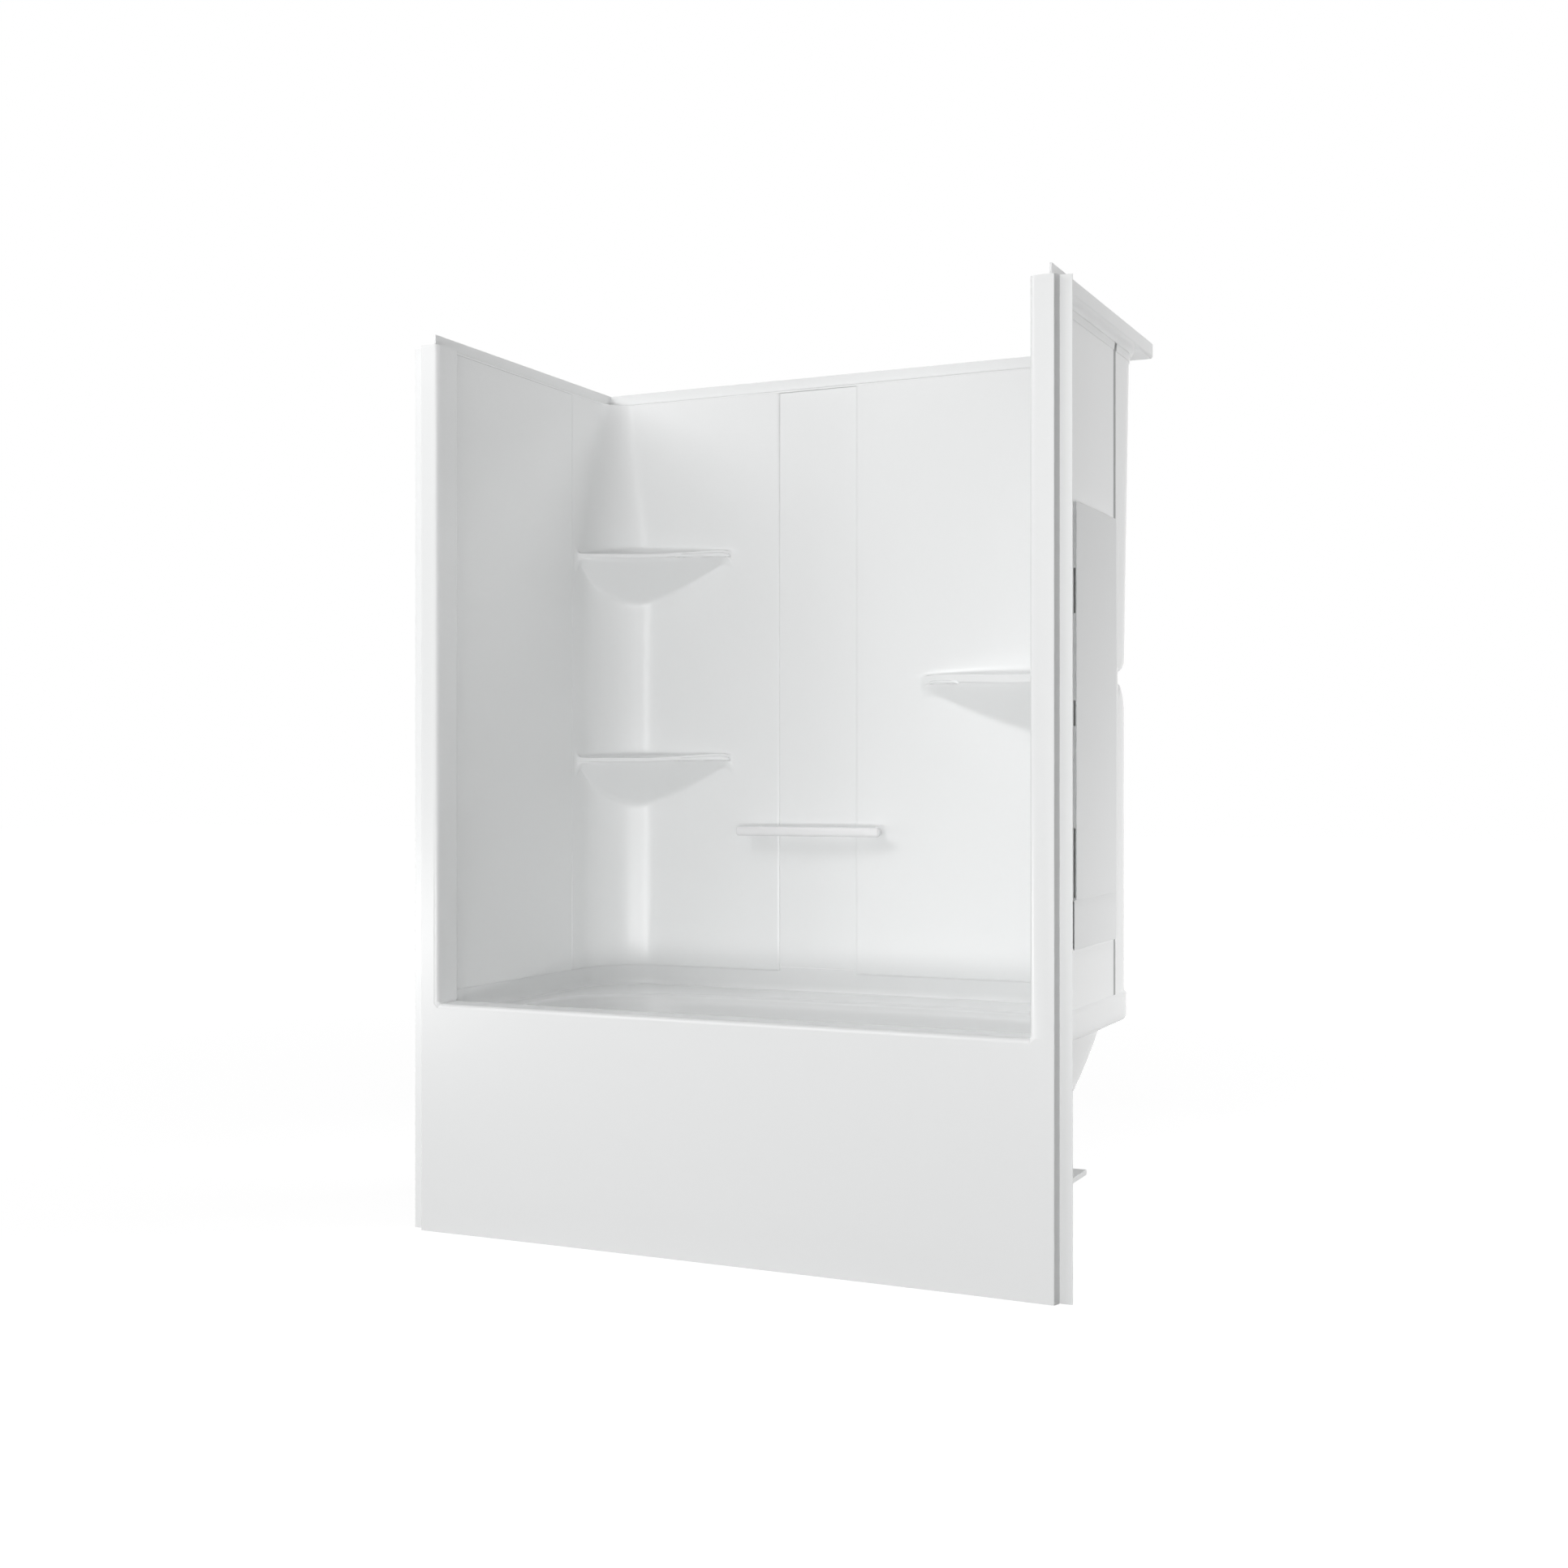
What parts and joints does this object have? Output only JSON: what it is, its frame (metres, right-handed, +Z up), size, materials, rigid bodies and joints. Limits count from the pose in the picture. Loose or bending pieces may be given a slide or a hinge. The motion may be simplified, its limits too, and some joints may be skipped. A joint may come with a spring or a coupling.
{
  "type": "tub and shower unit",
  "caption": "White alcove bath with a straight apron joined to three shower walls with moulded corner shelves, a towel bar and a waste with overflow.",
  "frame": {"origin": "on the floor, in the middle of the unit's width and depth", "axes": "+X to the viewer's right, +Y into the alcove towards the back wall, +Z up"},
  "size_m": [1.52, 0.808, 1.998],
  "materials": {
    "acrylic": "gloss white sheet",
    "bar_acrylic": "satin white",
    "coated_board": "white coating over board, matte",
    "timber": "sawn softwood",
    "chrome": "polished",
    "steel": "satin",
    "rubber": "matte black",
    "pipework": "black moulded plastic"
  },
  "bodies": {
    "unit": {"front_frame": "acrylic", "tub_basin": "acrylic", "left_wall_panel": "acrylic", "left_corner_panel": "acrylic", "center_back_panel": "acrylic", "right_corner_panel": "acrylic", "right_wall_panel": "acrylic", "top_rail": "acrylic", "towel_bar": "bar_acrylic", "towel_bar_post_left": "bar_acrylic", "towel_bar_post_right": "bar_acrylic", "left_backing_board_upper": "coated_board", "left_backing_board_lower": "coated_board", "right_backing_board_upper": "coated_board", "right_backing_board_lower": "coated_board", "base_board": "coated_board", "runner_front": "timber", "runner_middle": "timber", "runner_back": "timber", "rim_support_rail": "timber", "apron_foot_rail": "timber", "towel_bar_block_left": "timber", "towel_bar_block_right": "timber", "drain_strainer": "chrome", "overflow_plate": "chrome", "stopper_post": "steel", "towel_bar_bolt_left": "steel", "towel_bar_bolt_right": "steel", "overflow_screw_left": "steel", "overflow_screw_right": "steel", "drain_gasket": "rubber", "overflow_gasket": "rubber", "drain_shoe": "pipework", "waste_pipe": "pipework", "waste_tee": "pipework", "tailpiece": "pipework", "overflow_pipe": "pipework", "overflow_elbow": "pipework", "slip_nut_riser": "pipework", "slip_nut_tailpiece": "pipework"},
    "stopper": {"drain_stopper": "chrome", "stopper_seal": "rubber"}
  },
  "joints": [
    {"name": "stopper_lift", "type": "slide", "parent": "unit", "child": "stopper", "axis": [0, 0, 1], "range_m": [0, 0.01]}
  ]
}
